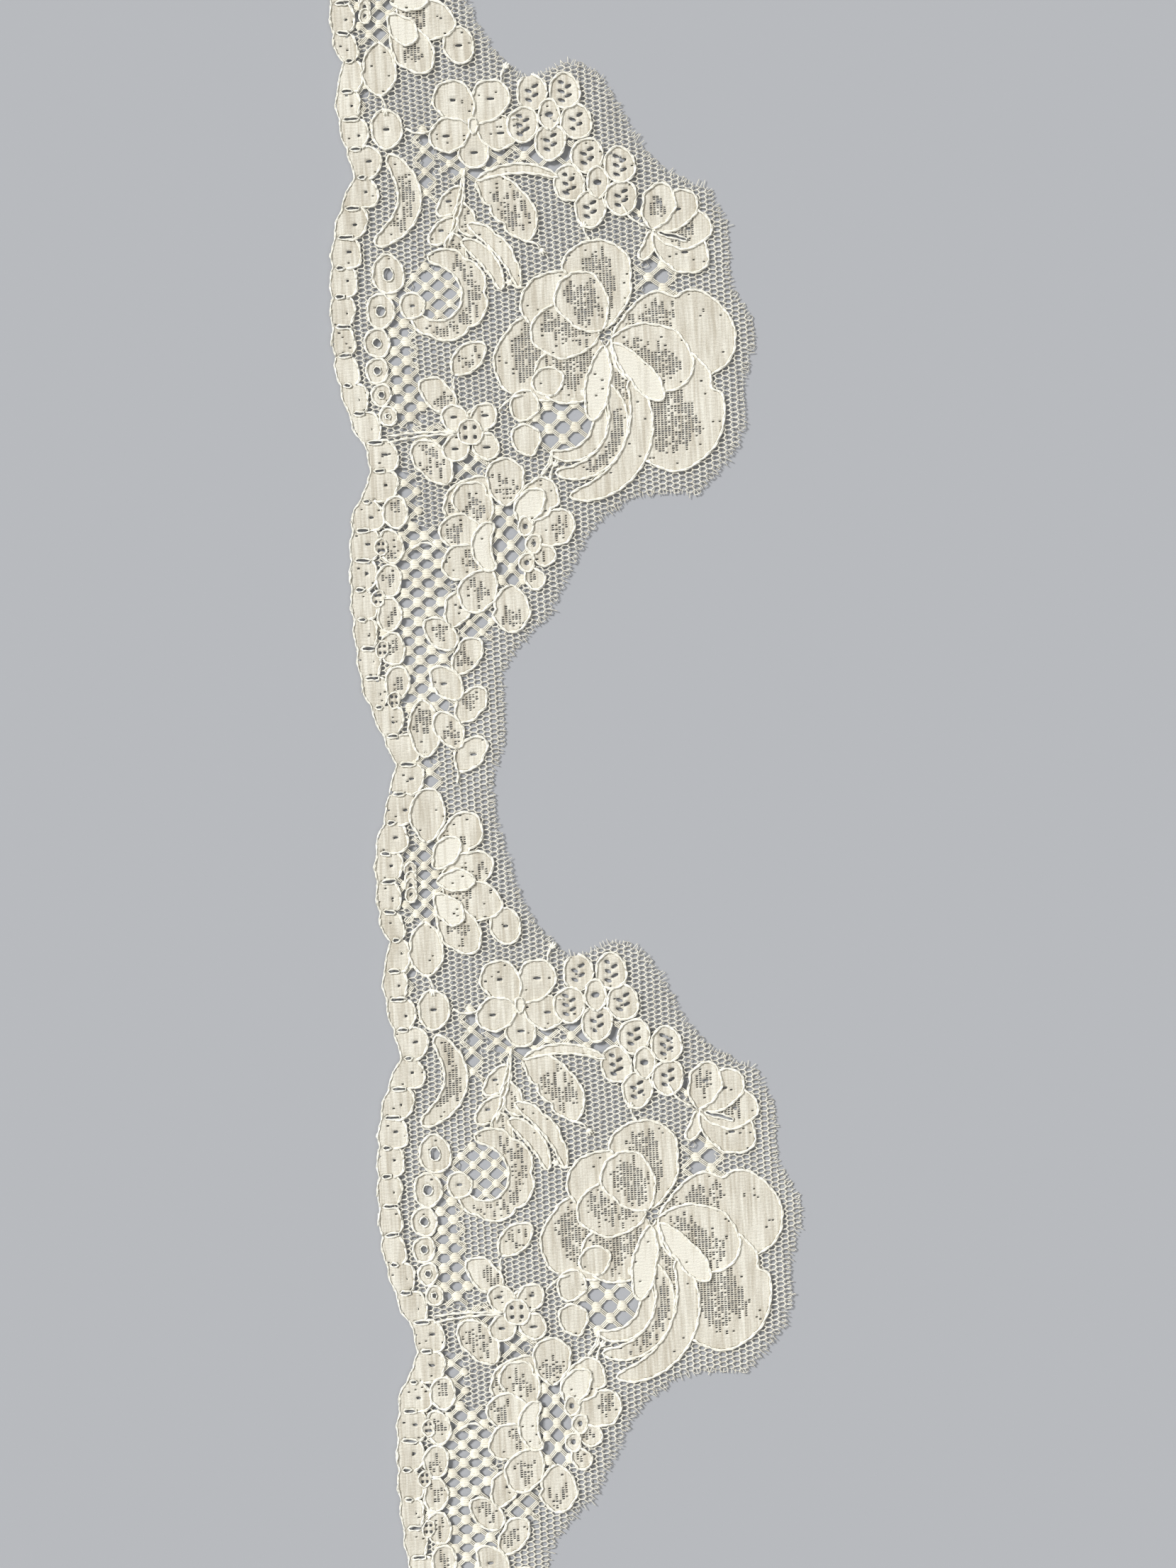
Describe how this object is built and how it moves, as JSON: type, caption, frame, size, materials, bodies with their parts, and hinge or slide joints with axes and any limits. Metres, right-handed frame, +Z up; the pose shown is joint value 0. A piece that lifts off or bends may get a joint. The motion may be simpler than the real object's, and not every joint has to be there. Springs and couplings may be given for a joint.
{
  "type": "alencon lace trim",
  "caption": "Flat cut length of corded floral lace trim on a hexagonal net, with one lobed edge and one deeply scalloped edge.",
  "frame": {"origin": "middle of the underside of the trim as it lies flat", "axes": "+Y along the trim, +X from the lobed edge to the scalloped edge, +Z up out of the surface it lies on"},
  "size_m": [0.0664, 0.276, 0.001],
  "materials": {
    "thread": "matt ivory lace thread with slightly brighter cord"
  },
  "bodies": {
    "root": {"lace": "thread"}
  },
  "joints": []
}
